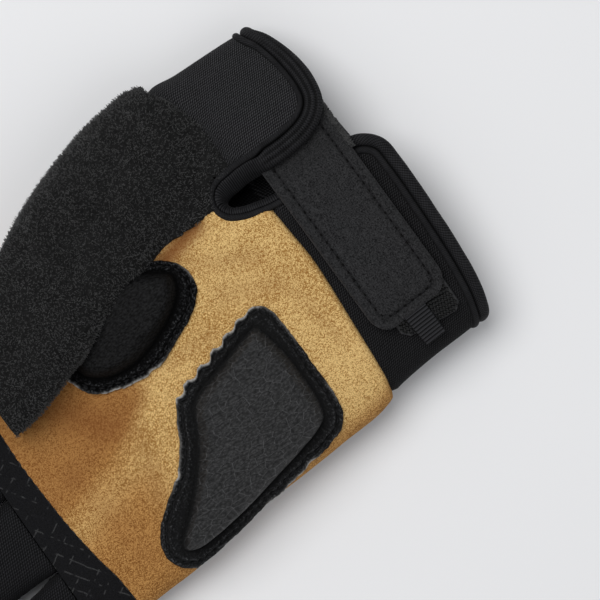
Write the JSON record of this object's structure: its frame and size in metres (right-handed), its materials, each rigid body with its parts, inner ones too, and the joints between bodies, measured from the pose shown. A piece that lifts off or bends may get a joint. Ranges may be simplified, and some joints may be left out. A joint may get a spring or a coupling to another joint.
{
  "type": "short-finger cycling glove, right hand",
  "caption": "Right-hand cycling glove lying palm up: tan suede palm with two gel pads, black terry thumb, knit cuff with bound keyhole slit and closing strap.",
  "frame": {"origin": "middle of the underside of the box round the glove, on the surface it lies on", "axes": "+X towards the thumb side, +Y towards the fingertips, +Z out of the palm, up"},
  "size_m": [0.117, 0.167, 0.0344],
  "materials": {
    "suede": "napped tan suede",
    "stretch": "plain black stretch knit",
    "terry": "black looped terry",
    "patch": "black cloth with fine pale broken strokes",
    "pad_leather": "black pebbled leather",
    "knit": "black fine-ribbed padded knit",
    "binding": "black rolled edge",
    "microfibre": "black brushed microfibre",
    "hook": "black hook tape",
    "ribbon": "black ribbed ribbon"
  },
  "bodies": {
    "root": {"palm": "suede", "back": "stretch", "thumb": "terry", "finger_base_patch": "patch", "heel_pad": "pad_leather", "thenar_pad": "pad_leather", "cuff": "knit", "cuff_binding": "binding", "strap": "microfibre", "hook_patch": "hook", "pull_tab": "ribbon", "little_stall": "stretch", "ring_stall": "stretch", "middle_stall": "stretch", "index_stall": "stretch"}
  },
  "joints": []
}
